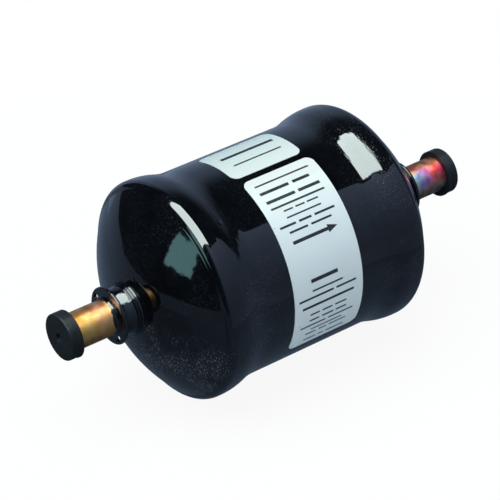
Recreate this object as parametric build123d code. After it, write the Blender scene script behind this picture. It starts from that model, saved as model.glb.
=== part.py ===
from build123d import *
from math import atan2, cos, hypot, pi, radians, sin, sqrt
import os

os.makedirs("parts", exist_ok=True)

# Liquid-line filter drier, 3/8 in solder connections, lying on its side.
# The flow axis is X: inlet end at -X, outlet end at +X, origin at the middle of the axis.
# Angles round the axis are measured from +Z (top) towards -Y (front).

# ---------------------------------------------------------------- driving dimensions (mm)
# shell: one spun steel body with a waist, a raised band at each end and two domes
waist_radius = 31.6
waist_half_length = 20.0
band_height = 1.9
band_flat = 1.0
shoulder_round = 3.0
crease_depth = 0.3
crease_round = 2.2
dome_radius = 46.2
dome_apex = 48.2
shell_wall = 1.6

# connection: copper-plated tube with a solder socket
tube_radius = 5.45
socket_radius = 4.83
socket_depth = 9.0
tube_bore_radius = 4.1
tube_mouth_x = 69.2
tube_inner_end_gap = 0.9
mouth_chamfer = 0.15

# turned collar welded on the dome, its weld flash, and the flange ring in front of it
collar_radius = 7.3
collar_end_x = 52.4
collar_round = 1.4
nose_radius = 6.25
nose_length = 0.7
flash_radius = 8.5
flash_length = 1.5
flash_valley = 0.3
ring_radius = 8.7
ring_thickness = 0.9
ring_edge_round = 0.25
ring_hole_radius = 1.15
ring_hole_pitch_radius = 6.75
ring_hole_angles = (-61.0, 140.0)
fillet_radius = 0.9

# rubber seal cap pushed over the tube's mouth
cap_radius = 7.05
cap_floor = 1.5
cap_skirt = 2.2
cap_edge_round = 0.45
cap_recess_radius = 1.4
cap_recess_depth = 0.8
flash_rim_radius = 7.12
flash_rim_thickness = 0.5
flash_rim_drop = 0.2

# labels: foil sheets wrapped on the waist
label_thickness = 0.12
label_adhesive = 0.05
label_corner = 2.4
main_label_start = -12.0
main_label_end = 12.65
main_label_top_angle = 11.7
main_label_bottom_angle = 117.2
small_label_start = -12.7
small_label_end = 12.0
small_label_top_angle = -25.8
small_label_bottom_angle = 7.7

# inside, from the inlet: spring, pressure plate, felt pad, desiccant core,
# polyester pad, screen, and a perforated support cup that seats in the outlet dome
core_start_x = -21.5
core_length = 45.5
core_chamfer = 1.5
inlet_pad_thickness = 3.0
outlet_pad_thickness = 3.0
screen_thickness = 0.4
plate_thickness = 1.0
plate_skirt_length = 5.0
plate_rim_growth = 0.5
perforation_radius = 1.9
perforation_ring_pitch = 7.2
perforation_rings = 3
spring_wire_radius = 1.1
spring_coil_radius = 18.0
spring_turns = 3.0

# clearances (all per side)
braze_gap = 0.05
cap_gap = 0.05
cap_seat_gap = 0.05
packing_gap = 0.25
spring_seat_gap = 0.1
cup_seat_gap = 0.15

# ---------------------------------------------------------------- worked-out sizes
tube_hole = tube_radius + braze_gap
band_radius = waist_radius + band_height
dome_centre = (dome_apex - dome_radius, 0.0)
shoulder_height = band_radius - shoulder_round
shoulder_reach = dome_radius + crease_depth - shoulder_round
shoulder_centre = (dome_centre[0] + sqrt(shoulder_reach**2 - shoulder_height**2), shoulder_height)
band_start = shoulder_centre[0] - band_flat
inner_waist = waist_radius - shell_wall
packing_radius = inner_waist - packing_gap
nose_end_x = collar_end_x + nose_length
ring_front_x = nose_end_x + ring_thickness
core_end_x = core_start_x + core_length


# ---------------------------------------------------------------- drawing helpers
# Profiles are drawn as (x, r) pairs in the half plane above the axis.
def spot(point):
    return Vector(point[0], 0, point[1])


def line(start, end):
    return Edge.make_line(spot(start), spot(end))


def arc_about(centre, start, end):
    """The shorter arc from start to end round a centre."""
    radius = hypot(start[0] - centre[0], start[1] - centre[1])
    first = atan2(start[1] - centre[1], start[0] - centre[0])
    last = atan2(end[1] - centre[1], end[0] - centre[0])
    turn = (last - first + pi) % (2 * pi) - pi
    middle = first + turn / 2
    crown = (centre[0] + radius * cos(middle), centre[1] + radius * sin(middle))
    return Edge.make_three_point_arc(spot(start), spot(crown), spot(end))


def outline(points):
    """Straight lines through the points, closed."""
    return [line(a, b) for a, b in zip(points, points[1:] + points[:1])]


def spin(edges, side=1):
    """Turn a closed profile round the axis; side -1 mirrors it to the inlet end."""
    solid = revolve(make_face(edges), Axis.X)
    return solid if side > 0 else mirror(solid, Plane.YZ)


def between(near, far, distance):
    """The point at a distance from near, on the way to far."""
    share = distance / hypot(far[0] - near[0], far[1] - near[1])
    return (near[0] + (far[0] - near[0]) * share, near[1] + (far[1] - near[1]) * share)


def circles_meet(centre_a, radius_a, centre_b, radius_b):
    """The crossing of two circles that lies to the right of the way from centre a to centre b."""
    dx, dy = centre_b[0] - centre_a[0], centre_b[1] - centre_a[1]
    apart = hypot(dx, dy)
    along = (radius_a**2 - radius_b**2 + apart**2) / (2 * apart)
    across = sqrt(radius_a**2 - along**2)
    foot = (centre_a[0] + dx * along / apart, centre_a[1] + dy * along / apart)
    return (foot[0] + dy * across / apart, foot[1] - dx * across / apart)


def dome_x(radius, inset=0.0):
    """Where the dome's surface stands at a radius, inset by part or all of the wall."""
    return dome_centre[0] + sqrt((dome_radius - inset) ** 2 - radius**2)


# ---------------------------------------------------------------- shell
def shell_half(inset):
    """Half the shell's outline, from the middle of the waist to the hole in the dome.

    A waist, two equal tangent arcs up to the band, the rounded shoulder, a shallow
    hollow crease, and the dome. The inner face is the same outline inset by the wall.
    """
    run = band_start - waist_half_length
    sweep_radius = (run**2 + band_height**2) / (4 * band_height)
    hollow_centre = (waist_half_length, waist_radius + sweep_radius)
    crown_centre = (band_start, band_radius - sweep_radius)
    crease_centre = circles_meet(
        dome_centre, dome_radius + crease_round, shoulder_centre, shoulder_round + crease_round
    )
    waist_end = (waist_half_length, waist_radius - inset)
    turning = between(crown_centre, hollow_centre, sweep_radius - inset)
    band_begin = (band_start, band_radius - inset)
    band_end = (shoulder_centre[0], band_radius - inset)
    crease_begin = between(shoulder_centre, crease_centre, shoulder_round - inset)
    crease_end = between(dome_centre, crease_centre, dome_radius - inset)
    hole_edge = (dome_x(tube_hole, inset), tube_hole)
    return [
        line((0, waist_radius - inset), waist_end),
        arc_about(hollow_centre, waist_end, turning),
        arc_about(crown_centre, turning, band_begin),
        line(band_begin, band_end),
        arc_about(shoulder_centre, band_end, crease_begin),
        arc_about(crease_centre, crease_begin, crease_end),
        arc_about(dome_centre, crease_end, hole_edge),
    ]


def shell():
    rim = line((dome_x(tube_hole), tube_hole), (dome_x(tube_hole, shell_wall), tube_hole))
    joint = line((0, waist_radius), (0, inner_waist))
    half = spin(shell_half(0.0) + [rim] + shell_half(shell_wall) + [joint])
    return half + mirror(half, Plane.YZ)


# ---------------------------------------------------------------- connections
def tube(side):
    """Copper-plated tube: a solder socket at the mouth, then a smaller bore."""
    inner_end = dome_x(tube_radius, shell_wall) - tube_inner_end_gap
    stop = tube_mouth_x - socket_depth
    return spin(
        outline(
            [
                (inner_end, tube_bore_radius),
                (stop, tube_bore_radius),
                (stop, socket_radius),
                (tube_mouth_x - mouth_chamfer, socket_radius),
                (tube_mouth_x, socket_radius + mouth_chamfer),
                (tube_mouth_x, tube_radius - mouth_chamfer),
                (tube_mouth_x - mouth_chamfer, tube_radius),
                (inner_end, tube_radius),
            ]
        ),
        side,
    )


def collar(side):
    """Turned steel collar: its foot follows the dome, its outer corner is rounded."""
    foot_out = (dome_x(collar_radius), collar_radius)
    foot_in = (dome_x(tube_hole), tube_hole)
    round_start = (collar_end_x - collar_round, collar_radius)
    round_end = (collar_end_x, collar_radius - collar_round)
    nose_face = (nose_end_x, min(nose_radius, round_end[1]))
    nose_root = (collar_end_x, nose_face[1])
    edges = [
        arc_about(dome_centre, foot_in, foot_out),
        line(foot_out, round_start),
        arc_about((round_start[0], round_end[1]), round_start, round_end),
        line(nose_root, nose_face),
        line(nose_face, (nose_end_x, tube_hole)),
        line((nose_end_x, tube_hole), foot_in),
    ]
    if round_end[1] > nose_root[1]:
        edges.append(line(round_end, nose_root))
    return spin(edges, side)


def weld_flash(side):
    """The upset metal at the collar's foot: two rounded ridges with a groove between."""
    foot_in = (dome_x(collar_radius), collar_radius)
    foot_out = (dome_x(flash_radius), flash_radius)
    tip = (foot_in[0] + flash_length, collar_radius)
    groove = (foot_in[0] + flash_length / 2, collar_radius + flash_valley)
    outer_crown = (foot_out[0] + 0.45 * flash_length, flash_radius - flash_valley)
    tip_crown = ((tip[0] + groove[0]) / 2, groove[1] + flash_valley)
    return spin(
        [
            arc_about(dome_centre, foot_in, foot_out),
            Edge.make_three_point_arc(spot(foot_out), spot(outer_crown), spot(groove)),
            Edge.make_three_point_arc(spot(groove), spot(tip_crown), spot(tip)),
            line(tip, foot_in),
        ],
        side,
    )


def flange_ring(side):
    """Pressed ring seated on the collar's nose, with its round holes."""
    disc = spin(
        outline(
            [
                (nose_end_x, tube_hole),
                (ring_front_x, tube_hole),
                (ring_front_x, ring_radius),
                (nose_end_x, ring_radius),
            ]
        )
    )
    rim = disc.edges().filter_by(GeomType.CIRCLE).sort_by(SortBy.RADIUS)[-2:]
    disc = fillet(rim, ring_edge_round)
    for angle in ring_hole_angles:
        drill = Rot(0, 90, 0) * Cylinder(ring_hole_radius, 4 * ring_thickness)
        drill = Pos(nose_end_x + ring_thickness / 2, 0, ring_hole_pitch_radius) * drill
        disc = disc - Rot(angle, 0, 0) * drill
    return disc if side > 0 else mirror(disc, Plane.YZ)


def braze_fillet(side):
    """The hollow fillet of braze between the ring's face and the tube."""
    reach = fillet_radius + braze_gap
    low = (ring_front_x + reach, tube_radius)
    high = (ring_front_x, tube_radius + reach)
    return spin(
        [
            line((ring_front_x, tube_radius), low),
            arc_about((ring_front_x + reach, tube_radius + reach), low, high),
            line(high, (ring_front_x, tube_radius)),
        ],
        side,
    )


def seal_cap(side):
    """Moulded rubber cap: blind recess in the face, thin moulding rim at the mouth."""
    floor_x = tube_mouth_x + cap_seat_gap
    face_x = floor_x + cap_floor
    mouth_x = floor_x - cap_skirt
    bore = tube_radius + cap_gap
    body = spin(
        outline(
            [
                (floor_x, 0),
                (face_x - cap_recess_depth, 0),
                (face_x - cap_recess_depth, cap_recess_radius),
                (face_x, cap_recess_radius),
                (face_x, cap_radius),
                (mouth_x, cap_radius),
                (mouth_x, bore),
                (floor_x, bore),
            ]
        )
    )
    front_rim = body.edges().filter_by(GeomType.CIRCLE).group_by(Axis.X)[-1].sort_by(SortBy.RADIUS)[-1]
    body = fillet(front_rim, cap_edge_round)
    rim = Rot(0, 90, 0) * Cylinder(flash_rim_radius, flash_rim_thickness)
    rim = Pos(mouth_x + flash_rim_thickness / 2, 0, -flash_rim_drop) * rim
    mouth = Pos(mouth_x, 0, 0) * Rot(0, 90, 0) * Cylinder(bore, 2 * cap_skirt)
    cap = body + (rim - mouth)
    return cap if side > 0 else mirror(cap, Plane.YZ)


# ---------------------------------------------------------------- labels
def label(start_x, end_x, top_angle, bottom_angle):
    """A foil sheet stuck on the waist, with rounded corners."""
    back = waist_radius + label_adhesive
    front = back + label_thickness
    strip = make_face(outline([(start_x, back), (end_x, back), (end_x, front), (start_x, front)]))
    sheet = revolve(strip, Axis.X, bottom_angle - top_angle)
    corners = sheet.edges().filter_by(lambda edge: edge.length < 2 * label_thickness)
    sheet = fillet(corners, label_corner)
    return Rot(top_angle, 0, 0) * sheet


# ---------------------------------------------------------------- packing inside the shell
def disc(start_x, thickness, chamfer_size=0.0):
    """A plain round pad or block that fills the waist."""
    end_x = start_x + thickness
    if not chamfer_size:
        corners = [(start_x, packing_radius), (end_x, packing_radius)]
    else:
        corners = [
            (start_x, packing_radius - chamfer_size),
            (start_x + chamfer_size, packing_radius),
            (end_x - chamfer_size, packing_radius),
            (end_x, packing_radius - chamfer_size),
        ]
    return spin(outline([(start_x, 0)] + corners + [(end_x, 0)]))


def perforations(face_x):
    """Round holes on rings of 1, 6, 12 and 18, as a group of drills."""
    drills = []
    for ring in range(perforation_rings + 1):
        count = max(1, 6 * ring)
        for index in range(count):
            drill = Pos(face_x, 0, ring * perforation_ring_pitch) * Rot(0, 90, 0)
            drill = drill * Cylinder(perforation_radius, 4 * plate_thickness)
            drills.append(Rot(360 * index / count, 0, 0) * drill)
    return drills


def perforated_cup(face_x, skirt_length, side):
    """Pressed cup: a perforated face and a skirt that flares towards the dome."""
    back_x = face_x + plate_thickness
    end_x = face_x + skirt_length
    rim_radius = packing_radius + plate_rim_growth
    cup = spin(
        outline(
            [
                (face_x, 0),
                (face_x, packing_radius),
                (end_x, rim_radius),
                (end_x, rim_radius - plate_thickness),
                (back_x, packing_radius - plate_thickness),
                (back_x, 0),
            ]
        )
    )
    for drill in perforations(face_x + plate_thickness / 2):
        cup = cup - drill
    return cup if side > 0 else mirror(cup, Plane.YZ)


def spring(plate_x):
    """Compression spring from the pressure plate to the inside of the inlet dome."""
    foot_x = -dome_x(spring_coil_radius + spring_wire_radius, shell_wall)
    first = foot_x + spring_wire_radius + spring_seat_gap
    last = plate_x - spring_wire_radius - spring_seat_gap
    pitch = (last - first) / spring_turns
    path = Helix(pitch, last - first, spring_coil_radius, center=(first, 0, 0), direction=(1, 0, 0))
    section = Plane(origin=path @ 0, z_dir=path % 0) * Circle(spring_wire_radius)
    return sweep(section, path, is_frenet=True)


# ---------------------------------------------------------------- the assembly
inlet_pad_x = core_start_x - inlet_pad_thickness
screen_x = core_end_x + outlet_pad_thickness
cup_face_x = screen_x + screen_thickness
cup_rim = packing_radius + plate_rim_growth
cup_skirt = dome_x(cup_rim, shell_wall) - cup_seat_gap - cup_face_x
plate_back_x = inlet_pad_x - plate_skirt_length

pieces = {
    "shell": shell(),
    "inlet_tube": tube(-1),
    "inlet_collar": collar(-1),
    "inlet_weld_flash": weld_flash(-1),
    "inlet_flange_ring": flange_ring(-1),
    "inlet_braze_fillet": braze_fillet(-1),
    "inlet_cap": seal_cap(-1),
    "outlet_tube": tube(1),
    "outlet_collar": collar(1),
    "outlet_weld_flash": weld_flash(1),
    "outlet_flange_ring": flange_ring(1),
    "outlet_braze_fillet": braze_fillet(1),
    "outlet_cap": seal_cap(1),
    "main_label": label(main_label_start, main_label_end, main_label_top_angle, main_label_bottom_angle),
    "small_label": label(small_label_start, small_label_end, small_label_top_angle, small_label_bottom_angle),
    "pressure_spring": spring(inlet_pad_x - plate_thickness),
    "pressure_plate": perforated_cup(-inlet_pad_x, plate_skirt_length, -1),
    "inlet_pad": disc(inlet_pad_x, inlet_pad_thickness),
    "desiccant_core": disc(core_start_x, core_length, core_chamfer),
    "outlet_pad": disc(core_end_x, outlet_pad_thickness),
    "outlet_screen": disc(screen_x, screen_thickness),
    "support_cup": perforated_cup(cup_face_x, cup_skirt, 1),
}

for name, piece in pieces.items():
    export_step(piece, f"parts/{name}.step")
    print(f"{name}: {piece.volume:.1f} mm3")
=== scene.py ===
# %% [markdown]
# A liquid-line filter drier is a steel vessel in a refrigeration line. It holds a moulded drying core, and a
# copper plated socket at each end is soldered to the line. Here it lies on its side with rubber caps on both
# sockets. Each piece below is built new over its solid, because a turned profile can carry more detail than the
# solid's triangles do.

import bpy
import bmesh
import math
from mathutils import Matrix, Vector


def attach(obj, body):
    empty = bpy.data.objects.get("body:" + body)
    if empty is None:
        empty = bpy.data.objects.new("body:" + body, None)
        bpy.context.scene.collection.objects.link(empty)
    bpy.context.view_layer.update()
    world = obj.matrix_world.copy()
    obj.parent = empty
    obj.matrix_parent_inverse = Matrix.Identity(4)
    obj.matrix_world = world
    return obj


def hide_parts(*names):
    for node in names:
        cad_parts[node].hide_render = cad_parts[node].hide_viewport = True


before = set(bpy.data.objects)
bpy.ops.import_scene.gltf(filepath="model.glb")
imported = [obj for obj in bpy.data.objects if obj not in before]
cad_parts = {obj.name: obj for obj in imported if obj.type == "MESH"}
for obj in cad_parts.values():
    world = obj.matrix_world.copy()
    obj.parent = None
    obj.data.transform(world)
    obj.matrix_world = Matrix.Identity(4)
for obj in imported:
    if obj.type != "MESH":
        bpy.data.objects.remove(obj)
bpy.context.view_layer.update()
MM = 0.001
root = "root"
print("solids loaded:", len(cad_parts), "nodes")

# %% [markdown]
# Sizes are in millimetres, and angles in degrees from the top towards the front. The sizes are the CAD model's
# own, so each new piece lies on its solid. Three small forms are made here alone: the crown of the collar, the
# narrow ridges of the weld flash, and the broken edges of the recess in the cap. Blender works in metres, and MM
# turns one into the other. The X axis is the flow axis, and a radius is measured from it. Nothing here stretches
# or moves a solid: a shape that looks wrong is put right in the CAD model, not in the scene.

# %% Sizes
WAIST_RADIUS = 31.6
WAIST_HALF_LENGTH = 20.0
BAND_HEIGHT = 1.9
BAND_FLAT = 1.0
SHOULDER_ROUND = 3.0
CREASE_DEPTH = 0.3
CREASE_ROUND = 2.2
DOME_RADIUS = 46.2
DOME_APEX = 48.2
SHELL_WALL = 1.6
TUBE_RADIUS = 5.45
SOCKET_RADIUS = 4.83
SOCKET_DEPTH = 9.0
TUBE_BORE = 4.1
TUBE_MOUTH = 69.2
TUBE_TAIL = 0.9
MOUTH_CHAMFER = 0.15
COLLAR_RADIUS = 7.3
COLLAR_END = 52.4
CROWN_LENGTH = 3.6
CROWN_RADIUS = 6.8
NOSE_RADIUS = 5.9
NOSE_END = 53.1
FLASH_RADIUS = 8.5
FLASH_LENGTH = 1.5
FLASH_ARCS = (
    ((0.22, 8.12), (0.3, 8.14), 4),
    ((0.42, 8.2), (0.52, 8.05), 10),
    ((0.7, 7.58), (0.9, 7.66), 8),
    ((1.05, 7.84), (1.2, 7.7), 10),
    ((1.32, 7.42), (FLASH_LENGTH, COLLAR_RADIUS), 4),
)
RING_RADIUS = 8.7
RING_FRONT = 54.0
RING_EDGE = 0.25
RING_HOLE_RADIUS = 1.15
RING_HOLE_PITCH = 6.75
RING_HOLE_ANGLES = (-61.0, 140.0)
FILLET_RADIUS = 0.9
BRAZE_GAP = 0.05
CAP_RADIUS = 7.05
CAP_FLOOR = 69.25
CAP_FACE = 70.75
CAP_MOUTH = 67.05
CAP_BORE = 5.5
CAP_RECESS_RADIUS = 1.4
CAP_RECESS_DEPTH = 0.8
CAP_RECESS_CHAMFER = 0.1
CAP_RECESS_EDGE = 0.08
CAP_EDGE = 0.45
CAP_RIM_LENGTH = 0.5
CAP_RIM_RADIUS = 7.12
CAP_RIM_DROP = 0.2
LABEL_RADIUS = 31.65
LABEL_THICKNESS = 0.12
LABEL_CORNER = 2.4
MAIN_LABEL = (-12.0, 12.65, 11.7, 117.2)
SMALL_LABEL = (-12.7, 12.0, -25.8, 7.7)
PRINT_LIFT = 0.012
DOME_CENTRE = DOME_APEX - DOME_RADIUS
TUBE_HOLE = TUBE_RADIUS + BRAZE_GAP

# %% [markdown]
# Nearly every part of a drier is spun, pressed or turned round one axis. So each is drawn as a flat profile of
# (x, radius) points and then turned round X. A profile could be drawn with a Bezier curve and a Screw modifier.
# Points computed from circle centres are used here instead, since neighbouring arcs then meet without a kink, and
# a kink would show at once as a break in a glossy reflection.

# %% Profile helpers
def dome_x(radius, inset=0.0):
    """Where the dome stands at a radius."""
    return DOME_CENTRE + math.sqrt((DOME_RADIUS - inset) ** 2 - radius**2)


def arc(centre, start, end, steps):
    """Points on the shorter arc from start to end, without the first one."""
    radius = math.hypot(start[0] - centre[0], start[1] - centre[1])
    first = math.atan2(start[1] - centre[1], start[0] - centre[0])
    last = math.atan2(end[1] - centre[1], end[0] - centre[0])
    turn = (last - first + math.pi) % (2 * math.pi) - math.pi
    angles = [first + turn * (i + 1) / steps for i in range(steps)]
    return [(centre[0] + radius * math.cos(a), centre[1] + radius * math.sin(a)) for a in angles]


def straight(start, end, steps):
    """Evenly spaced points on a line, without the first one."""
    shares = [(i + 1) / steps for i in range(steps)]
    return [(start[0] + (end[0] - start[0]) * s, start[1] + (end[1] - start[1]) * s) for s in shares]


def between(near, far, distance):
    """The point at a distance from near on the way to far."""
    share = distance / math.hypot(far[0] - near[0], far[1] - near[1])
    return (near[0] + (far[0] - near[0]) * share, near[1] + (far[1] - near[1]) * share)


def circles_meet(a, radius_a, b, radius_b):
    """The crossing to the right of the way from circle a to circle b."""
    dx, dy = b[0] - a[0], b[1] - a[1]
    apart = math.hypot(dx, dy)
    along = (radius_a**2 - radius_b**2 + apart**2) / (2 * apart)
    across = math.sqrt(radius_a**2 - along**2)
    foot = (a[0] + dx * along / apart, a[1] + dy * along / apart)
    return (foot[0] + dy * across / apart, foot[1] - dx * across / apart)


def mesh_object(name, bm, smooth_angle=35.0):
    """Turns a bmesh into a finished object at the origin, shaded smooth with sharp corners kept."""
    bmesh.ops.remove_doubles(bm, verts=bm.verts[:], dist=1e-7)
    bmesh.ops.recalc_face_normals(bm, faces=bm.faces[:])
    mesh = bpy.data.meshes.new(name)
    bm.to_mesh(mesh)
    bm.free()
    mesh.polygons.foreach_set("use_smooth", [True] * len(mesh.polygons))
    mesh.set_sharp_from_angle(angle=math.radians(smooth_angle))
    obj = bpy.data.objects.new(name, mesh)
    bpy.context.scene.collection.objects.link(obj)
    return obj


def spun(name, profile, steps=192, side=1, closed=True):
    """Turns a profile of (x, r) points in millimetres round the X axis."""
    bm = bmesh.new()
    verts = [bm.verts.new((side * x * MM, 0.0, r * MM)) for x, r in profile]
    pairs = list(zip(verts, verts[1:] + verts[:1])) if closed else list(zip(verts, verts[1:]))
    edges = [bm.edges.new(pair) for pair in pairs]
    bmesh.ops.spin(bm, geom=verts + edges, cent=(0, 0, 0), axis=(1, 0, 0), angle=math.tau, steps=steps, use_merge=True)
    return mesh_object(name, bm)


# %% [markdown]
# The shell is one steel wall that was spun to shape: a straight waist, a sweep out to a raised band, a rounded
# shoulder, a shallow crease and a domed end with a hole for the tube. It could be three primitives joined by
# booleans, but the reflections would then break at each seam. One closed outline, outside and inside, keeps the
# wall even and the surface smooth. The sweep is two equal arcs that touch, and the crease is an arc that touches
# shoulder and dome.

# %% Shell
def shell_outline(inset, steps):
    """Half the shell's outline, from the middle of the waist to the hole in the dome."""
    shoulder_height = WAIST_RADIUS + BAND_HEIGHT - SHOULDER_ROUND
    reach = DOME_RADIUS + CREASE_DEPTH - SHOULDER_ROUND
    shoulder = (DOME_CENTRE + math.sqrt(reach**2 - shoulder_height**2), shoulder_height)
    band_start = shoulder[0] - BAND_FLAT
    run = band_start - WAIST_HALF_LENGTH
    sweep = (run**2 + BAND_HEIGHT**2) / (4 * BAND_HEIGHT)
    hollow = (WAIST_HALF_LENGTH, WAIST_RADIUS + sweep)
    crown = (band_start, WAIST_RADIUS + BAND_HEIGHT - sweep)
    crease = circles_meet((DOME_CENTRE, 0), DOME_RADIUS + CREASE_ROUND, shoulder, SHOULDER_ROUND + CREASE_ROUND)
    turning = between(crown, hollow, sweep - inset)
    top = WAIST_RADIUS + BAND_HEIGHT - inset
    points = [(0.0, WAIST_RADIUS - inset)]
    points += straight(points[-1], (WAIST_HALF_LENGTH, WAIST_RADIUS - inset), steps)
    points += arc(hollow, points[-1], turning, steps)
    points += arc(crown, points[-1], (band_start, top), steps)
    points += straight(points[-1], (shoulder[0], top), 2)
    points += arc(shoulder, points[-1], between(shoulder, crease, SHOULDER_ROUND - inset), 2 * steps)
    points += arc(crease, points[-1], between((DOME_CENTRE, 0), crease, DOME_RADIUS - inset), steps)
    points += arc((DOME_CENTRE, 0), points[-1], (dome_x(TUBE_HOLE, inset), TUBE_HOLE), 4 * steps)
    return points


outer = shell_outline(0.0, 8)
inner = shell_outline(SHELL_WALL, 3)
loop = [(-x, r) for x, r in outer[:0:-1]] + outer + inner[::-1] + [(-x, r) for x, r in inner[1:]]
shell = spun("drier_shell", loop, steps=256)
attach(shell, root)
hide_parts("shell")
print("shell:", len(loop), "outline points,", len(shell.data.polygons), "faces")

# %% [markdown]
# Each end carries five metal fittings and a cap. The collar is a turned sleeve whose foot follows the dome. Its
# outer end is slightly crowned here, where the solid has a plain rounded corner, because the crown is what gives
# the small curved highlight. The weld flash is the metal squeezed out where the collar was welded. Its two ridges
# are narrower here than on the solid, and they stay inside it.
#
# The flange ring is stamped sheet, so it is made as one is: outlines filled, holes left open, thickness added,
# rim rounded. The braze fillet is hollow towards the air, as molten metal pulls itself. The cap is rubber, so its
# mouth carries the thin and slightly low rim that a mould leaves.

# %% Fittings
END_NAMES = {-1: "inlet", 1: "outlet"}


def collar_profile():
    """The collar: its foot on the dome, a crowned outside and a short nose."""
    foot_in = (dome_x(TUBE_HOLE), TUBE_HOLE)
    foot_out = (dome_x(COLLAR_RADIUS), COLLAR_RADIUS)
    crown = (COLLAR_END - CROWN_LENGTH, COLLAR_RADIUS - CROWN_RADIUS)
    drop = CROWN_RADIUS - math.sqrt(CROWN_RADIUS**2 - CROWN_LENGTH**2)
    points = [foot_in] + arc((DOME_CENTRE, 0), foot_in, foot_out, 4)
    points += straight(points[-1], (crown[0], COLLAR_RADIUS), 4)
    points += arc(crown, points[-1], (COLLAR_END, COLLAR_RADIUS - drop), 20)
    points += [(COLLAR_END, NOSE_RADIUS), (NOSE_END, NOSE_RADIUS), (NOSE_END, TUBE_HOLE)]
    return points


def arc_through(start, middle, end, steps):
    """Points on the circle through three points, without the first one."""
    (ax, ay), (bx, by), (cx, cy) = start, middle, end
    d = 2 * (ax * (by - cy) + bx * (cy - ay) + cx * (ay - by))
    ux = ((ax**2 + ay**2) * (by - cy) + (bx**2 + by**2) * (cy - ay) + (cx**2 + cy**2) * (ay - by)) / d
    uy = ((ax**2 + ay**2) * (cx - bx) + (bx**2 + by**2) * (ax - cx) + (cx**2 + cy**2) * (bx - ax)) / d
    half = arc((ux, uy), start, middle, steps // 2)
    return half + arc((ux, uy), middle, end, steps // 2)


def flash_profile():
    """The upset metal at the collar's foot: two narrow ridges with a groove between."""
    foot_in = (dome_x(COLLAR_RADIUS), COLLAR_RADIUS)
    foot_out = (dome_x(FLASH_RADIUS), FLASH_RADIUS)
    x = foot_in[0]
    points = [foot_in] + arc((DOME_CENTRE, 0), foot_in, foot_out, 4)
    start = foot_out
    for middle, end, steps in FLASH_ARCS:
        points += arc_through(start, (x + middle[0], middle[1]), (x + end[0], end[1]), steps)
        start = points[-1]
    return points


def tube_profile():
    """The tube: a bore, a wider socket with a stop, and a mouth with its edges broken."""
    inner_end = dome_x(TUBE_RADIUS, SHELL_WALL) - TUBE_TAIL
    stop = TUBE_MOUTH - SOCKET_DEPTH
    points = [(inner_end, TUBE_BORE)] + straight((inner_end, TUBE_BORE), (stop, TUBE_BORE), 6)
    lip = TUBE_MOUTH - MOUTH_CHAMFER
    points += [(stop, SOCKET_RADIUS)] + straight((stop, SOCKET_RADIUS), (lip, SOCKET_RADIUS), 6)
    points += [(TUBE_MOUTH, SOCKET_RADIUS + MOUTH_CHAMFER), (TUBE_MOUTH, TUBE_RADIUS - MOUTH_CHAMFER)]
    points += [(lip, TUBE_RADIUS)]
    points += straight(points[-1], (inner_end, TUBE_RADIUS), 24)
    return points


def fillet_profile():
    """The braze between ring and tube, hollow towards the air."""
    reach = FILLET_RADIUS + BRAZE_GAP
    low = (RING_FRONT + reach, TUBE_RADIUS)
    high = (RING_FRONT, TUBE_RADIUS + reach)
    return [(RING_FRONT, TUBE_RADIUS), low] + arc((low[0], high[1]), low, high, 10)


def flange_ring(name, side):
    """A flat ring with round holes: outline circles filled, given thickness, rim rounded."""
    bm = bmesh.new()
    face_x = side * NOSE_END * MM
    turned = Matrix.Rotation(math.pi / 2, 4, "Y")
    place = Matrix.Translation((face_x, 0, 0)) @ turned
    bmesh.ops.create_circle(bm, segments=160, radius=RING_RADIUS * MM, matrix=place)
    bmesh.ops.create_circle(bm, segments=96, radius=TUBE_HOLE * MM, matrix=place)
    for angle in RING_HOLE_ANGLES:
        a = math.radians(angle)
        offset = Vector((0, -math.sin(a), math.cos(a))) * RING_HOLE_PITCH * MM
        hole = Matrix.Translation(Vector((face_x, 0, 0)) + offset) @ turned
        bmesh.ops.create_circle(bm, segments=40, radius=RING_HOLE_RADIUS * MM, matrix=hole)
    bmesh.ops.triangle_fill(bm, use_beauty=True, use_dissolve=False, edges=bm.edges[:])
    made = bmesh.ops.extrude_face_region(bm, geom=bm.faces[:])
    moved = [v for v in made["geom"] if isinstance(v, bmesh.types.BMVert)]
    bmesh.ops.translate(bm, verts=moved, vec=(side * (RING_FRONT - NOSE_END) * MM, 0, 0))
    bmesh.ops.recalc_face_normals(bm, faces=bm.faces[:])
    rim = [e for e in bm.edges if all(math.hypot(v.co.y, v.co.z) > (RING_RADIUS - 0.01) * MM for v in e.verts)]
    rim = [e for e in rim if abs(e.verts[0].co.x - e.verts[1].co.x) < 1e-7]
    bmesh.ops.bevel(bm, geom=rim, offset=RING_EDGE * MM, segments=4, profile=0.5, affect="EDGES", material=-1)
    return mesh_object(name, bm)


def cap_profile():
    """Half a seal cap: a face with a shallow recess, rounded edge, skirt and bore."""
    recess = CAP_FACE - CAP_RECESS_DEPTH
    turning = (CAP_FACE - CAP_EDGE, CAP_RADIUS - CAP_EDGE)
    points = [(recess, 0.0), (recess, CAP_RECESS_RADIUS - CAP_RECESS_CHAMFER)]
    points += [(recess + CAP_RECESS_CHAMFER, CAP_RECESS_RADIUS), (CAP_FACE - CAP_RECESS_EDGE, CAP_RECESS_RADIUS)]
    points += [(CAP_FACE, CAP_RECESS_RADIUS + CAP_RECESS_EDGE)]
    points += straight(points[-1], (CAP_FACE, CAP_RADIUS - CAP_EDGE), 6)
    points += arc(turning, points[-1], (CAP_FACE - CAP_EDGE, CAP_RADIUS), 6)
    points += straight(points[-1], (CAP_MOUTH + CAP_RIM_LENGTH + 0.06, CAP_RADIUS), 8)
    points += [(CAP_MOUTH + CAP_RIM_LENGTH * share, CAP_RADIUS) for share in (1.0, 0.5, 0.0)]
    points += [(CAP_MOUTH, CAP_BORE), (CAP_FLOOR, CAP_BORE), (CAP_FLOOR, 0.0)]
    return points


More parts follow.
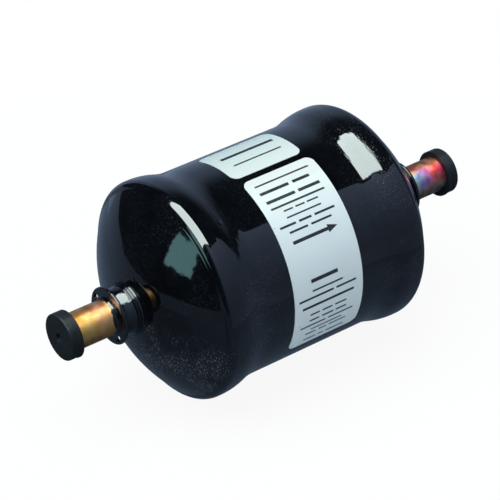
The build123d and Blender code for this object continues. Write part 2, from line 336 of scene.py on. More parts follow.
def seal_cap(name, side):
    """A moulded cap: its mouth carries a thin rim that sits a little low."""
    cap = spun(name, cap_profile(), steps=192, side=side, closed=False)
    for v in cap.data.vertices:
        x = side * v.co.x / MM
        radius = math.hypot(v.co.y, v.co.z) / MM
        if x < CAP_MOUTH + CAP_RIM_LENGTH + 0.01 and radius > CAP_RADIUS - 0.02:
            down = -v.co.z / MM / radius
            rim = CAP_RIM_DROP * down + math.sqrt(CAP_RIM_RADIUS**2 - CAP_RIM_DROP**2 * (1 - down**2))
            rim = max(CAP_RADIUS, rim)
            v.co.y *= rim / radius
            v.co.z *= rim / radius
    return cap


for side, end in END_NAMES.items():
    made = {
        "collar": (spun(f"{end}_collar_turned", collar_profile(), 192, side), "black_paint"),
        "weld_flash": (spun(f"{end}_weld_bead", flash_profile(), 256, side), "black_paint"),
        "tube": (spun(f"{end}_tube_plated", tube_profile(), 192, side), "copper_plate"),
        "braze_fillet": (spun(f"{end}_braze", fillet_profile(), 192, side), "black_paint"),
        "flange_ring": (flange_ring(f"{end}_ring_pressed", side), "black_paint"),
    }
    for part, (obj, finish) in made.items():
        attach(obj, root)
        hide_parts(f"{end}_{part}")
    cap = seal_cap(f"{end}_cap_moulded", side)
    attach(cap, f"{end}_cap")
    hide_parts(f"{end}_cap")
    print(end, "fittings:", ", ".join(obj.name for obj, _ in made.values()) + ",", cap.name)


# %% [markdown]
# A foil label has rounded corners and bends only one way. Cutting one out of the shell would give it no
# thickness. It is laid flat as a grid, shaped, given a UV map while it is still flat, made solid, and wrapped on
# the waist last. Most rows lie near the short edges, because the corners need them. Both labels float 0.05 mm
# above the paint, which is the layer of glue.

# %% Labels
def label_sheet(name, start, end, top, bottom):
    """A rounded rectangle laid flat, solidified, then wrapped on the waist."""
    height = math.radians(bottom - top) * LABEL_RADIUS
    width = end - start
    rows, columns = 140, 60
    bm = bmesh.new()
    bmesh.ops.create_grid(bm, x_segments=columns, y_segments=rows, size=0.5)
    for v in bm.verts:
        along = (v.co.x + 0.5) * 2 - 1
        share = v.co.y + 0.5
        down = height * (0.5 - 0.5 * math.cos(math.pi * share))
        gap = min(down, height - down)
        half = width / 2
        if gap < LABEL_CORNER:
            half -= LABEL_CORNER - math.sqrt(max(0.0, LABEL_CORNER**2 - (LABEL_CORNER - gap) ** 2))
        v.co = Vector(((start + end) / 2 + along * half, down, 0.0))
    bmesh.ops.remove_doubles(bm, verts=bm.verts[:], dist=1e-5)
    uv = bm.loops.layers.uv.new("label")
    for face in bm.faces:
        for corner in face.loops:
            corner[uv].uv = (corner.vert.co.x / 100 + 0.5, corner.vert.co.y / 100)
    bmesh.ops.recalc_face_normals(bm, faces=bm.faces[:])
    bmesh.ops.solidify(bm, geom=bm.faces[:], thickness=LABEL_THICKNESS)
    low = min(v.co.z for v in bm.verts)
    for v in bm.verts:
        angle = math.radians(top) + v.co.y / LABEL_RADIUS
        radius = LABEL_RADIUS + v.co.z - low
        v.co = Vector((v.co.x, -radius * math.sin(angle), radius * math.cos(angle))) * MM
    return mesh_object(name, bm)


main_label = label_sheet("main_label_foil", *MAIN_LABEL)
small_label = label_sheet("small_label_foil", *SMALL_LABEL)
for obj, node in ((main_label, "main_label"), (small_label, "small_label")):
    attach(obj, root)
    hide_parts(node)
    print(obj.name, "is", round(obj.dimensions.x / MM, 2), "mm long")

# %% [markdown]
# The labels carry plain bars and one flow arrow. The bars stand where lines of print would be, and nothing on the
# drier can be read. Print could be painted in the material, but thin geometry keeps sharp edges at any distance.
# Each bar bends with the label and stands 0.012 mm off it, so that the two surfaces never fight for the same
# place. The arrow's head is split along its middle, since one flat triangle would sink into the curved label.

# %% Printed marks
def printed(start, end, top, bottom):
    """A thin printed bar on a label: x from start to end, angle from top to bottom."""
    rows = max(1, int((bottom - top) / 1.0))
    bm = bmesh.new()
    bmesh.ops.create_grid(bm, x_segments=1, y_segments=rows, size=0.5)
    for v in bm.verts:
        angle = math.radians(top + (bottom - top) * (v.co.y + 0.5))
        radius = LABEL_RADIUS + LABEL_THICKNESS + PRINT_LIFT
        v.co = Vector((start + (end - start) * (v.co.x + 0.5), -radius * math.sin(angle), radius * math.cos(angle)))
        v.co *= MM
    return bm


def joined(name, parts):
    """Joins several bmeshes into one object."""
    mesh = bpy.data.meshes.new(name)
    whole = bmesh.new()
    for part in parts:
        part.to_mesh(mesh)
        whole.from_mesh(mesh)
        part.free()
    bpy.data.meshes.remove(mesh)
    return mesh_object(name, whole)


def arrow(start, neck, tip, middle, half_shaft, half_head):
    """Shaft and head of the flow arrow."""
    shaft = printed(start, neck, middle - half_shaft, middle + half_shaft)
    head = bmesh.new()
    radius = LABEL_RADIUS + LABEL_THICKNESS + PRINT_LIFT
    corners = []
    for x, angle in ((neck, middle - half_head), (tip, middle), (neck, middle + half_head), (neck, middle)):
        a = math.radians(angle)
        corners.append(head.verts.new(Vector((x, -radius * math.sin(a), radius * math.cos(a))) * MM))
    head.faces.new((corners[0], corners[1], corners[3]))
    head.faces.new((corners[3], corners[1], corners[2]))
    return [shaft, head]


MAIN_BARS = [
    (16.7, 17.7, [(-9.3, 9.8)]),
    (20.6, 24.2, [(-9.5, 0.6), (2.0, 8.0)]),
    (26.4, 30.0, [(-9.4, 0.7), (1.9, 9.6)]),
    (31.8, 32.9, [(-9.35, 9.75)]),
    (34.6, 36.4, [(-6.0, -2.7), (-1.8, 1.5), (2.3, 6.3)]),
    (38.4, 40.2, [(-6.1, 6.1)]),
    (41.9, 44.4, [(-9.8, -4.2), (-3.0, 1.4), (2.5, 9.7)]),
    (45.8, 48.1, [(-7.5, -1.0), (0.2, 7.5)]),
    (72.6, 76.9, [(-5.5, 4.1)]),
    (79.3, 81.3, [(-5.5, 5.5)]),
    (82.8, 85.2, [(-10.4, 2.0), (3.0, 10.2)]),
    (87.5, 90.5, [(-9.3, 9.3)]),
    (93.3, 95.5, [(-6.4, -3.0), (-2.0, 1.6), (2.6, 6.7)]),
    (97.1, 99.4, [(-6.5, -3.0), (-2.0, 2.2), (3.0, 6.8)]),
    (100.8, 103.0, [(-9.5, -0.4), (0.6, 9.5)]),
    (104.3, 106.2, [(-5.4, 5.8)]),
    (107.0, 109.2, [(-7.1, -3.2), (-2.2, 0.6), (1.6, 7.6)]),
    (112.0, 114.4, [(-6.9, -2.6), (-1.6, 0.2), (1.2, 7.5)]),
]
SMALL_BARS = [(-15.2, -9.8, [(-9.1, 9.5)]), (-3.9, -1.5, [(-8.4, 8.5)])]


def text_rules(rows):
    """Rows of plain rules: a thin rule keeps its height, and a row of words takes about half of it."""
    parts = []
    for top, bottom, spans in rows:
        trim = 0.0 if bottom - top < 1.2 else 0.26 * (bottom - top)
        parts += [printed(a, b, top + trim, bottom - trim) for a, b in spans]
    return parts


bars = text_rules(MAIN_BARS)
main_print = joined("main_label_print", bars + arrow(-7.8, 4.7, 8.1, 52.45, 0.9, 2.2))
small_print = joined("small_label_print", text_rules(SMALL_BARS))
for obj in (main_print, small_print):
    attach(obj, root)
    print(obj.name, "has", len(obj.data.polygons), "faces")


# %% [markdown]
# A material is a graph of nodes, and long graphs are hard to read as code. This small class gives each kind of
# node a short name, so that a finish reads like a recipe. Patterns use Object coordinates, which are in metres
# and don't stretch where a mesh does. A scale of 900 therefore gives marks of about a millimetre.

# %% Node helpers
class Finish:
    """A material with short ways to add its nodes."""

    def __init__(self, name, tree=None):
        if tree is None:
            self.material = bpy.data.materials.new(name)
            self.material.use_nodes = True
            tree = self.material.node_tree
            self.shader = tree.nodes["Principled BSDF"]
            self.coords = tree.nodes.new("ShaderNodeTexCoord").outputs["Object"]
        self.tree = tree

    def plug(self, socket, value):
        """Links a socket to an input, or writes a plain value into it."""
        if isinstance(value, bpy.types.NodeSocket):
            self.tree.links.new(value, socket)
        elif isinstance(value, (tuple, list)) and len(value) == 3 and len(socket.default_value) == 4:
            socket.default_value = (*value, 1.0)
        else:
            socket.default_value = value

    def node(self, kind, inputs, **settings):
        """Adds a node, sets its options and fills its inputs."""
        made = self.tree.nodes.new("ShaderNode" + kind)
        for key, value in settings.items():
            setattr(made, key, value)
        for key, value in inputs.items():
            self.plug(made.inputs[key], value)
        return made

    def math(self, operation, a, b=0.0, clamp=False):
        """One sum on one or two values."""
        made = self.node("Math", {0: a, 1: b}, operation=operation, use_clamp=clamp)
        return made.outputs[0]

    def step(self, value, low, high):
        """0 below low and 1 above high, smooth between; low may be above high."""
        made = self.node("MapRange", {0: value, 1: low, 2: high}, interpolation_type="SMOOTHSTEP")
        return made.outputs[0]

    def window(self, value, low, high, soft):
        """1 between low and high, 0 outside."""
        after_low = self.step(value, low - soft, low + soft)
        before_high = self.step(value, high + soft, high - soft)
        return self.math("MULTIPLY", after_low, before_high)

    def noise(self, scale, detail=3.0, roughness=0.5, vector=None, distortion=0.0):
        vector = self.coords if vector is None else vector
        inputs = {"Vector": vector, "Scale": scale, "Detail": detail, "Roughness": roughness, "Distortion": distortion}
        return self.node("TexNoise", inputs).outputs[0]

    def cells(self, scale):
        """Distance to the nearest cell point, and that cell's random colour."""
        made = self.node("TexVoronoi", {"Vector": self.coords, "Scale": scale})
        return made.outputs["Distance"], made.outputs["Color"]

    def mix(self, share, a, b):
        """Colour a where share is 0 and colour b where it is 1."""
        made = self.node("Mix", {0: share, 6: a, 7: b}, data_type="RGBA")
        return made.outputs[2]

    def ramp(self, value, stops):
        """A colour for each value from 0 to 1, given as (position, colour) stops."""
        made = self.node("ValToRGB", {0: value})
        ramp = made.color_ramp
        while len(ramp.elements) < len(stops):
            ramp.elements.new(0.5)
        for element, (position, colour) in zip(ramp.elements, stops):
            element.position = position
            element.color = (*colour, 1.0)
        return made.outputs[0]

    def split(self, vector=None):
        """The three parts of a vector, or of the place in metres when none is given."""
        made = self.node("SeparateXYZ", {0: self.coords if vector is None else vector})
        return made.outputs[0], made.outputs[1], made.outputs[2]

    def around(self):
        """The angle round the flow axis, from the top towards the front, in degrees."""
        _, y, z = self.split()
        return self.math("MULTIPLY", self.math("ARCTAN2", self.math("MULTIPLY", y, -1.0), z), 180 / math.pi)

    def relief(self, height, distance, normal=None):
        """A bump of a given depth in metres, laid over another one."""
        inputs = {"Height": height, "Distance": distance, "Strength": 1.0}
        if normal is not None:
            inputs["Normal"] = normal
        return self.node("Bump", inputs).outputs[0]

    def specks(self, scale, size, share, region=None):
        """Round specks: size is a cell share, share is how many cells carry one."""
        distance, colour = self.cells(scale)
        red = self.split(colour)[0]
        dot = self.step(distance, size, size * 0.6)
        chosen = self.step(red, 1 - share, 1 - share + 0.001)
        speck = self.math("MULTIPLY", dot, chosen)
        return speck if region is None else self.math("MULTIPLY", speck, region)

    def set(self, **values):
        """Fills the shader's inputs; an underscore stands for a space."""
        for key, value in values.items():
            self.plug(self.shader.inputs[key.replace("_", " ")], value)


def wear(obj, finish):
    """Gives an object one finish and nothing else."""
    obj.data.materials.clear()
    obj.data.materials.append(finish.material)


# %% [markdown]
# The shell wears glossy black paint. Real black paint isn't a pure black: it holds a little blue, dust settles in
# it, and it sags into faint waves. The base colour is very dark, and a clear coat on top gives the sharp
# reflection. Three reliefs lie over each other: a fine orange peel, a slow wave, and drawn marks on the sloped
# sweep, where the spinning tool ran. A few blisters lie on top. Dust specks gather on the low side of the dome.

# %% Black paint
BLISTERS = ((-26.0, 33.0, 28.2, 1.0), (-23.1, 33.0, 28.9, 1.2), (-46.8, 11.0, 14.0, 0.8))


def blister(paint, spot_x, radius, angle, size):
    """A smooth bump in the paint at a place along the axis, a distance from it and an angle round it."""
    a = math.radians(angle)
    centre = Vector((spot_x, -radius * math.sin(a), radius * math.cos(a))) * MM
    away = paint.node("VectorMath", {0: paint.coords, 1: tuple(centre)}, operation="DISTANCE").outputs["Value"]
    return paint.step(away, 1.1e-3 * size, 0.0)


def black_paint(name, dusty=1.0, lumpy=0.0):
    """Glossy black paint with dust, waves, drawn marks and a few blisters."""
    paint = Finish(name)
    x = paint.split()[0]
    angle = paint.around()
    wide = paint.noise(28.0, 3.0)
    low_dust = paint.math("MULTIPLY", paint.step(x, -0.033, -0.038), paint.step(angle, 80.0, 100.0))
    waist_dust = paint.math("MULTIPLY", paint.window(x, -0.031, -0.012, 0.004), paint.step(angle, 45.0, 75.0))
    right_dust = paint.step(x, 0.016, 0.026)
    thin_dust = paint.math("MULTIPLY", paint.math("MAXIMUM", waist_dust, right_dust), 0.3)
    region = paint.math("MAXIMUM", paint.math("MAXIMUM", low_dust, thin_dust), 0.12)
    clumps = paint.math("MULTIPLY", paint.step(paint.noise(120.0, 3.0), 0.38, 0.6), region)
    dots = paint.specks(2000.0, 0.3, 0.7)
    big = paint.specks(700.0, 0.12, 0.16)
    dust = paint.math("MULTIPLY", paint.math("MAXIMUM", dots, big), paint.math("MULTIPLY", clumps, dusty), clamp=True)
    body = paint.mix(wide, (0.0010, 0.0013, 0.0018), (0.0019, 0.0024, 0.0036))
    film = paint.math("MULTIPLY", clumps, 0.6 * dusty)
    body = paint.mix(film, body, (0.012, 0.014, 0.018))
    colour = paint.mix(dust, body, (0.17, 0.19, 0.22))
    rough = paint.math("ADD", 0.05, paint.math("MULTIPLY", paint.step(paint.noise(60.0, 4.0), 0.4, 0.8), 0.1))
    rough = paint.math("ADD", rough, paint.math("MULTIPLY", dust, 0.5), clamp=True)
    swept_x = paint.math("MULTIPLY", x, 620.0)
    swept_y = paint.math("MULTIPLY", angle, 0.055)
    swept = paint.node("CombineXYZ", {0: swept_x, 1: swept_y}).outputs[0]
    streaks = paint.noise(1.0, 2.0, vector=swept, distortion=0.4)
    sloped = paint.window(paint.math("ABSOLUTE", x), 0.0225, 0.0305, 0.0015)
    draw = paint.math("ADD", 0.18, paint.math("MULTIPLY", sloped, 0.82))
    peel = paint.relief(paint.noise(420.0, 2.0), 5e-6)
    wave = paint.relief(paint.noise(110.0, 2.0), 2.6e-5, normal=peel)
    wave = paint.relief(paint.math("MULTIPLY", streaks, draw), 6e-5, normal=wave)
    if lumpy:
        wave = paint.relief(paint.noise(800.0, 2.0), lumpy, normal=wave)
    for spot in BLISTERS:
        wave = paint.relief(blister(paint, *spot), 1.6e-4 * spot[-1], normal=wave)
    grain = paint.relief(dust, 3e-5, normal=wave)
    paint.set(Base_Color=colour, Roughness=rough, Normal=grain)
    paint.set(Specular_IOR_Level=0.25, Coat_Weight=1.0, Coat_Roughness=0.02, IOR=1.5, Coat_IOR=1.5)
    paint.plug(paint.shader.inputs["Coat Normal"], wave)
    return paint


shell_paint = black_paint("black_paint_shell")
fitting_paint = black_paint("black_paint_fittings", 0.5, 1.1e-4)
wear(shell, shell_paint)
print("black paint uses", len(shell_paint.tree.nodes), "nodes")


# %% [markdown]
# Copper plated steel turns gold, purple and blue when it is heated, and the colour tells how hot each spot was.
# So the tint follows the place: one colour ramp runs along the tube and another runs round it, both shifted by noise
# so that no band is straight. The ramp round the tube also holds painted shade: it darkens the metal towards the back
# and the underside. The inlet stayed gold, and the outlet went from blue through red. The paint ends in a ragged line
# near the ring, and there the metal fades to black.

# %% Copper plate
def plated(name, side):
    """Copper plate, tinted by heat, with painted shade towards the back and the underside and a ragged end of paint
    near the ring.
    """
    plate = Finish(name)
    x = plate.split()[0]
    angle = plate.around()
    along = plate.math("MULTIPLY", plate.math("ABSOLUTE", x), 1000.0)
    warp = plate.noise(170.0, 3.0)
    soft = plate.noise(320.0, 4.0)
    drift = plate.math("MULTIPLY", plate.math("SUBTRACT", warp, 0.5), 5.0)
    place = plate.math("ADD", along, drift)
    turn = plate.math("ADD", angle, plate.math("MULTIPLY", drift, 9.0))
    round_share = plate.math("DIVIDE", plate.math("ADD", turn, 30.0), 180.0, clamp=True)
    long_share = plate.math("DIVIDE", plate.math("SUBTRACT", place, 53.0), 15.0, clamp=True)
    # The ramp round the inlet tube is heat tint with painted shade: darker towards the back and the underside.
    if side < 0:
        tint = plate.ramp(round_share, [
            (0.0, (0.2, 0.06, 0.02)), (0.2, (0.34, 0.09, 0.02)), (0.34, (0.8, 0.27, 0.05)),
            (0.46, (0.88, 0.46, 0.11)), (0.58, (0.82, 0.46, 0.08)), (0.72, (0.85, 0.44, 0.05)),
            (0.84, (0.42, 0.24, 0.03)), (1.0, (0.09, 0.07, 0.02)),
        ])
        blush = plate.ramp(long_share, [
            (0.0, (0.6, 0.22, 0.1)), (0.3, (0.85, 0.4, 0.26)), (0.5, (0.88, 0.38, 0.24)),
            (0.7, (0.85, 0.52, 0.12)), (1.0, (0.8, 0.44, 0.04)),
        ])
        colour = plate.mix(0.35, tint, blush)
    else:
        tint = plate.ramp(long_share, [
            (0.0, (0.3, 0.55, 0.35)), (0.15, (0.55, 0.75, 0.62)), (0.3, (0.2, 0.28, 0.6)),
            (0.45, (0.35, 0.15, 0.5)), (0.6, (0.8, 0.08, 0.34)), (0.74, (0.95, 0.06, 0.03)),
            (0.88, (0.66, 0.04, 0.12)), (1.0, (0.3, 0.06, 0.12)),
        ])
        # The ramp round the outlet tube is heat tint with painted shade: darker towards the back and the underside.
        edge_tint_and_painted_shade = plate.ramp(round_share, [
            (0.0, (0.2, 0.06, 0.05)), (0.25, (0.55, 0.12, 0.06)), (0.5, (0.8, 0.4, 0.35)),
            (0.8, (0.2, 0.16, 0.14)), (1.0, (0.12, 0.1, 0.06)),
        ])
        middle = plate.window(turn, 20.0, 75.0, 16.0)
        colour = plate.mix(middle, edge_tint_and_painted_shade, tint)
    mottle = plate.step(plate.noise(420.0, 3.0), 0.4, 0.65)
    colour = plate.mix(plate.math("MULTIPLY", mottle, 0.3), colour, (0.95, 0.72, 0.4))
    stain = plate.step(plate.noise(260.0, 5.0, 0.6), 0.52, 0.72)
    colour = plate.mix(plate.math("MULTIPLY", stain, 0.45), colour, (0.2, 0.12, 0.06))
    jitter = plate.math("SUBTRACT", plate.noise(300.0, 4.0, 0.6), 0.5)
    ragged = plate.math("ADD", along, plate.math("MULTIPLY", jitter, 3.2))
    painted = plate.step(ragged, 55.6, 55.3)
    colour = plate.mix(painted, colour, (0.004, 0.005, 0.007))
    metal = plate.math("SUBTRACT", 1.0, painted, clamp=True)
    bare_rough = plate.math("ADD", 0.42, plate.math("MULTIPLY", soft, 0.2))
    rough = plate.math("SUBTRACT", bare_rough, plate.math("MULTIPLY", painted, 0.3), clamp=True)
    long_grain = plate.node("Mapping", {"Vector": plate.coords, "Scale": (9.0, 1.0, 1.0)}).outputs[0]
    lines = plate.node("TexNoise", {"Vector": long_grain, "Scale": 420.0, "Detail": 3.0}).outputs[0]
    scratch = plate.relief(lines, 8e-6)
    step = plate.relief(painted, 6e-5, normal=scratch)
    plate.set(Base_Color=colour, Metallic=metal, Roughness=rough, Normal=step, Coat_Weight=0.4, Coat_Roughness=0.1)
    return plate


# %% [markdown]
# The caps are moulded rubber: almost black, matte, and a little dusty. A high roughness with a low specular level
# keeps them duller than the paint, and this difference is what tells the eye that the material is soft. Two
# reliefs give the skin a fine grain and a few shallow dents.

# %% Rubber
def rubber_finish(name):
    """Matte black rubber with a fine grain and a little dust."""
    rubber = Finish(name)
    blot = rubber.noise(160.0, 4.0)
    colour = rubber.mix(blot, (0.0035, 0.005, 0.007), (0.010, 0.014, 0.020))
    dust = rubber.specks(1700.0, 0.2, 0.3, rubber.step(rubber.noise(220.0, 3.0), 0.5, 0.7))
    colour = rubber.mix(dust, colour, (0.05, 0.06, 0.07))
    rough = rubber.math("ADD", 0.46, rubber.math("MULTIPLY", blot, 0.2))
    marks = rubber.relief(rubber.noise(1100.0, 3.0), 1.2e-5)
    dents = rubber.relief(rubber.step(rubber.noise(300.0, 4.0), 0.56, 0.64), 4e-5, normal=marks)
    rubber.set(Base_Color=colour, Roughness=rough, Normal=dents, Specular_IOR_Level=0.28)
    return rubber


rubber = rubber_finish("rubber_cap")
print("rubber uses", len(rubber.tree.nodes), "nodes")

# %% [markdown]
# The fittings were painted together with the shell, so they wear the same paint with less dust and a lumpier
# surface, as paint gathers round a weld. The tubes wear copper and the caps rubber.

# %% Dress the fittings
for side, end in END_NAMES.items():
    copper = plated(f"copper_plate_{end}", side)
    for part in ("collar_turned", "weld_bead", "braze", "ring_pressed"):
        wear(bpy.data.objects[f"{end}_{part}"], fitting_paint)
    wear(bpy.data.objects[f"{end}_tube_plated"], copper)
    wear(bpy.data.objects[f"{end}_cap_moulded"], rubber)


# %% [markdown]
# The labels are pale foil with a soft sheen. Their colour holds painted light and shade: it is lightest and a little
# mint near the top, where the overhead light falls, and turns darker and bluer down the side. Ink lies on top with
# small worn spots, so that the bars don't look like holes.

# %% Label foil and ink
def foil_finish(name):
    """Pale foil with painted light and shade round the waist, a soft sheen and a few scuffs."""
    foil = Finish(name)
    angle = foil.around()
    # Painted light and shade: the foil is lightest and a little mint near the top, and darker and bluer down the side.
    tint = foil.ramp(foil.math("DIVIDE", foil.math("ADD", angle, 30.0), 150.0, clamp=True), [
        (0.0, (0.6, 0.76, 0.75)), (0.3, (0.84, 0.89, 0.87)), (0.6, (0.8, 0.9, 0.94)), (1.0, (0.62, 0.73, 0.81)),
    ])
    cloud = foil.noise(90.0, 3.0)
    tint = foil.mix(foil.math("MULTIPLY", cloud, 0.12), tint, (0.5, 0.56, 0.6))
    scuff = foil.specks(700.0, 0.16, 0.03)
    tint = foil.mix(scuff, tint, (0.2, 0.24, 0.25))
    rough = foil.math("ADD", 0.3, foil.math("MULTIPLY", cloud, 0.15))
    ripple = foil.relief(foil.noise(140.0, 2.0), 1.5e-5)
    foil.set(Base_Color=tint, Roughness=rough, Normal=ripple, Metallic=0.12, Coat_Weight=0.25, Coat_Roughness=0.2)
    return foil


def ink_finish(name):
    """Black ink with small worn spots."""
    ink = Finish(name)
    worn = ink.step(ink.noise(2600.0, 3.0), 0.52, 0.7)
    colour = ink.mix(worn, (0.012, 0.015, 0.018), (0.05, 0.06, 0.065))
    ink.set(Base_Color=colour, Roughness=ink.math("ADD", 0.3, ink.math("MULTIPLY", worn, 0.2)))
    return ink


foil = foil_finish("label_foil")
ink = ink_finish("label_ink")
for obj in (main_label, small_label):
    wear(obj, foil)
for obj in (main_print, small_print):
    wear(obj, ink)
print("labels dressed:", foil.material.name, "and", ink.material.name)


# %% [markdown]
# Inside are a spring, a perforated plate, felt pads, the drying core, a screen and a support cup. They can't be
# seen, but a reader may open the model, so each gets its own finish. These are the CAD model's own solids, and
# only their material changes.

# %% Inside pieces
def inner_finish(name, dark, light, scale, rough, metallic, depth):
    """A grainy finish between two colours, for a piece inside the shell."""
    inner = Finish(name)
    grain = inner.noise(scale, 4.0)
    spots = inner.step(inner.noise(scale * 0.2, 3.0), 0.45, 0.7)
    colour = inner.mix(grain, dark, light)
    colour = inner.mix(inner.math("MULTIPLY", spots, 0.25), colour, tuple(c * 0.6 for c in dark))
    inner.set(Base_Color=colour, Roughness=inner.math("ADD", rough, inner.math("MULTIPLY", grain, 0.15)))
    inner.set(Metallic=metallic, Normal=inner.relief(grain, depth))
    return inner


inner_looks = {
    "pressure_spring": ("spring_steel", (0.3, 0.3, 0.31), (0.55, 0.55, 0.56), 900.0, 0.25, 1.0, 6e-6),
    "pressure_plate": ("plated_steel", (0.42, 0.4, 0.33), (0.68, 0.66, 0.56), 500.0, 0.3, 1.0, 8e-6),
    "support_cup": ("plated_steel", (0.42, 0.4, 0.33), (0.68, 0.66, 0.56), 500.0, 0.3, 1.0, 8e-6),
    "outlet_screen": ("wire_screen", (0.25, 0.25, 0.26), (0.6, 0.6, 0.62), 2400.0, 0.35, 1.0, 1e-4),
    "inlet_pad": ("felt", (0.62, 0.6, 0.54), (0.86, 0.84, 0.78), 1800.0, 0.85, 0.0, 2e-4),
    "outlet_pad": ("felt", (0.62, 0.6, 0.54), (0.86, 0.84, 0.78), 1800.0, 0.85, 0.0, 2e-4),
    "desiccant_core": ("desiccant", (0.6, 0.52, 0.42), (0.84, 0.78, 0.68), 1200.0, 0.8, 0.0, 1.5e-4),
}
looks = {}
for node, (slot, *look) in inner_looks.items():
    if slot not in looks:
        looks[slot] = inner_finish(slot, *look)
    wear(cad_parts[node], looks[slot])
print("inside finishes:", ", ".join(looks))

# %% [markdown]
# The camera looks down on the drier from the front left with a long lens, which keeps the two ends nearly the
# same size. A camera looks along its own negative Z, so its matrix is built from three directions: right, up and
# back.

# %% Camera
AZIMUTH, ELEVATION = math.radians(-37.386), math.radians(34.867)
CAMERA_DISTANCE, CAMERA_RIGHT, CAMERA_UP = 739.0, -3.02, -0.07
SENSOR_WIDTH = 36.0
FOCAL_LENGTH = 181.872
level = math.cos(ELEVATION)
back = Vector((math.sin(AZIMUTH) * level, -math.cos(AZIMUTH) * level, math.sin(ELEVATION)))
right = Vector((math.cos(AZIMUTH), math.sin(AZIMUTH), 0.0))
up = back.cross(right)
camera_data = bpy.data.cameras.new("camera")
camera_data.sensor_width = SENSOR_WIDTH
camera_data.lens = FOCAL_LENGTH
camera = bpy.data.objects.new("camera", camera_data)
bpy.context.scene.collection.objects.link(camera)
place = (CAMERA_DISTANCE * back + CAMERA_RIGHT * right + CAMERA_UP * up) * MM
camera.matrix_world = Matrix.Translation(place) @ Matrix((right, up, back)).transposed().to_4x4()
bpy.context.scene.camera = camera
bpy.context.scene.view_settings.view_transform = "Standard"
print("camera stands", round(place.length / MM), "mm away")

# %% [markdown]
# Glossy black shows nothing but its surroundings, so the room is half of the look. It could be built from area
# lights, but here the world shader holds it all: an overhead softbox, a side box, a dim wall and a table edge.
# Polished surfaces see a dim room with bright boxes, which keeps the paint dark. Matte surfaces are lit by a soft
# and even one. The camera itself sees white behind the drier. The Light Path node picks between them, and no
# light is made stronger to get the white. One more thing to know: a mirror needs far brighter boxes than a matte
# surface does.

# %% Room
OVERHEAD_CORNERS = [(-1.15, 0.88), (0.33, 0.42), (0.33, -0.48), (-1.62, -0.3)]
COOL = (0.66, 0.88, 1.3)
OVERHEAD_GLOW, SIDE_GLOW = (9.6, 11.2, 10.9), (0.95, 1.95, 2.0)
EVEN_TINT, OVERHEAD_SOFT = (0.94, 1.0, 1.06), (2.8, 3.05, 3.0)
world = bpy.data.worlds.new("studio")
bpy.context.scene.world = world
world.use_nodes = True
room = Finish("room", world.node_tree)
generated = world.node_tree.nodes.new("ShaderNodeTexCoord").outputs["Generated"]
direction = room.node("VectorMath", {0: generated}, operation="NORMALIZE").outputs[0]
dx, dy, dz = room.split(direction)
bearing = room.math("MULTIPLY", room.math("ARCTAN2", dx, room.math("MULTIPLY", dy, -1.0)), 180 / math.pi)
height = room.math("MULTIPLY", room.math("ARCSINE", dz), 180 / math.pi)
above = room.math("MAXIMUM", dz, 0.02)
flat_x = room.math("DIVIDE", dx, above)
flat_y = room.math("DIVIDE", dy, above)


def side_of(a, b, soft):
    """1 on the right of the line from a to b in the plane overhead."""
    length = math.hypot(b[0] - a[0], b[1] - a[1])
    nx, ny = (b[1] - a[1]) / length, -(b[0] - a[0]) / length
    reach = room.math("ADD", room.math("MULTIPLY", flat_x, nx), room.math("MULTIPLY", flat_y, ny))
    reach = room.math("SUBTRACT", reach, a[0] * nx + a[1] * ny)
    return room.step(reach, -soft, soft)


overhead = room.step(dz, 0.02, 0.1)
for a, b in zip(OVERHEAD_CORNERS, OVERHEAD_CORNERS[1:] + OVERHEAD_CORNERS[:1]):
    overhead = room.math("MULTIPLY", overhead, side_of(a, b, 0.012))
ragged = room.node("TexNoise", {"Vector": direction, "Scale": 9.0, "Detail": 3.0}).outputs[0]
ragged = room.math("MULTIPLY", room.math("SUBTRACT", ragged, 0.5), 9.0)
side_bearing = room.math("ADD", bearing, ragged)
side_height = room.math("ADD", height, ragged)
across_box = room.window(side_bearing, -107.0, -83.0, 1.0)
up_box = room.window(side_height, 7.0, 28.0, 1.0)
side_box = room.math("MULTIPLY", across_box, up_box)


def scaled(colour, amount):
    """A colour made brighter or darker by an amount."""
    return room.node("VectorMath", {0: colour, 3: amount}, operation="SCALE").outputs[0]


def summed(*parts):
    """Several lights added up."""
    total = parts[0]
    for part in parts[1:]:
        total = room.node("VectorMath", {0: total, 1: part}, operation="ADD").outputs[0]
    return total


horizon = room.ramp(room.math("DIVIDE", room.math("ADD", bearing, 180.0), 360.0), [
    (0.03, (0.38,) * 3), (0.085, (0.33,) * 3), (0.105, (0.08,) * 3), (0.165, (0.05,) * 3), (0.203, (0.0,) * 3),
    (0.232, (0.14,) * 3), (0.31, (0.13,) * 3), (0.4, (0.3,) * 3),
])
below = room.math("SUBTRACT", height, room.math("MULTIPLY", room.math("SUBTRACT", horizon, 1.0), 12.0))
below = room.step(below, 0.6, -0.6)
over = room.math("MAXIMUM", room.math("SUBTRACT", height, 47.0), 0.0)
reach = room.math("SUBTRACT", 70.0, room.math("MULTIPLY", over, 4.0))
front_right = room.step(room.math("SUBTRACT", reach, bearing), -1.0, 1.0)
front_right = room.math("MULTIPLY", room.step(bearing, -50.0, -20.0), front_right)
rise = room.ramp(room.math("DIVIDE", height, 90.0, clamp=True), [
    (0.0, (0.2,) * 3), (0.17, (0.25,) * 3), (0.39, (0.4,) * 3),
    (0.52, (0.55,) * 3), (0.7, (0.8,) * 3), (0.76, (0.1,) * 3),
])
back_right = room.math("MULTIPLY", room.step(bearing, 78.0, 98.0), room.step(height, 46.0, 22.0))
wall = room.math("ADD", room.math("MULTIPLY", front_right, rise), room.math("MULTIPLY", back_right, 0.26))
wall = room.math("ADD", wall, 0.022)
rear = room.math("ADD", 0.14, room.math("MULTIPLY", room.step(room.math("ABSOLUTE", bearing), 120.0, 170.0), 0.05))
wall = room.math("MAXIMUM", wall, room.math("MULTIPLY", below, rear))
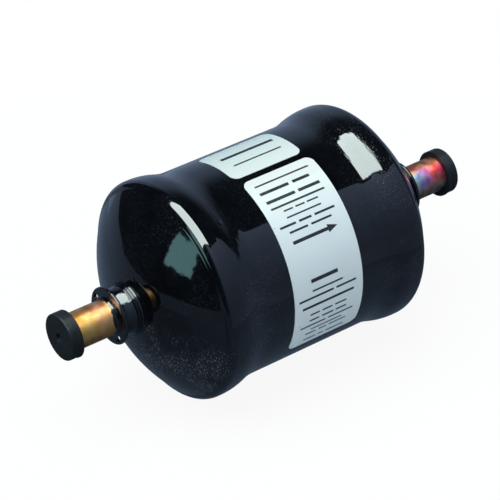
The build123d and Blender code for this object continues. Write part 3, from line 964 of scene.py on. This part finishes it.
mirrored = summed(
    scaled(COOL, wall),
    scaled(OVERHEAD_GLOW, overhead),
    scaled(SIDE_GLOW, side_box),
)
front_card = room.math("MULTIPLY", room.window(bearing, -75.0, 30.0, 10.0), room.window(height, 0.0, 55.0, 8.0))
even = room.math("ADD", 0.26, room.math("MULTIPLY", front_card, 0.3))
soft = summed(scaled(EVEN_TINT, even), scaled(OVERHEAD_SOFT, overhead))
rays = world.node_tree.nodes.new("ShaderNodeLightPath")
shiny = room.math("MAXIMUM", rays.outputs["Is Glossy Ray"], rays.outputs["Is Transmission Ray"])
total = room.mix(shiny, soft, mirrored)
seen = room.mix(rays.outputs["Is Camera Ray"], total, (1.0, 1.0, 1.0))
background = world.node_tree.nodes["Background"]
world.node_tree.links.new(seen, background.inputs["Color"])

# %% [markdown]
# It is mostly lit from itself for the camera, which keeps it pale to the edge of the picture, and the rest is a
# matte surface that receives the shadow. Glossy rays meet a dim version of it, darker close to the drier, where
# its own shadow would be.

# %% Floor
FLOOR_RADIUS = 0.16
FLOOR_Z = -0.0336
bm = bmesh.new()
bmesh.ops.create_circle(bm, cap_ends=True, segments=96, radius=FLOOR_RADIUS)
floor = mesh_object("floor", bm)
floor.location = (0, 0, FLOOR_Z)
cloth = Finish("pale_table")
tree = cloth.tree
path = tree.nodes.new("ShaderNodeLightPath")
cloth.set(Base_Color=(0.8, 0.81, 0.82), Roughness=0.9)
cloth.set(Specular_IOR_Level=0.0)
bright = cloth.node("Emission", {0: (1.0, 1.0, 1.0), 1: 1.0}).outputs[0]
out_from_axis = cloth.step(cloth.math("ABSOLUTE", cloth.split()[1]), 0.01, 0.08)
sheen = cloth.mix(out_from_axis, (0.05, 0.072, 0.105), (0.105, 0.148, 0.215))
dim = cloth.node("Emission", {0: sheen, 1: 1.0}).outputs[0]
keep = cloth.math("MULTIPLY", path.outputs["Is Camera Ray"], 0.92)
shown = cloth.node("MixShader", {0: keep, 1: cloth.shader.outputs[0], 2: bright}).outputs[0]
mirror = cloth.math("MAXIMUM", path.outputs["Is Glossy Ray"], path.outputs["Is Transmission Ray"])
final = cloth.node("MixShader", {0: mirror, 1: shown, 2: dim}).outputs[0]
tree.links.new(final, tree.nodes["Material Output"].inputs["Surface"])
wear(floor, cloth)
print("floor lies", round(-floor.location.z / MM, 1), "mm below the axis")
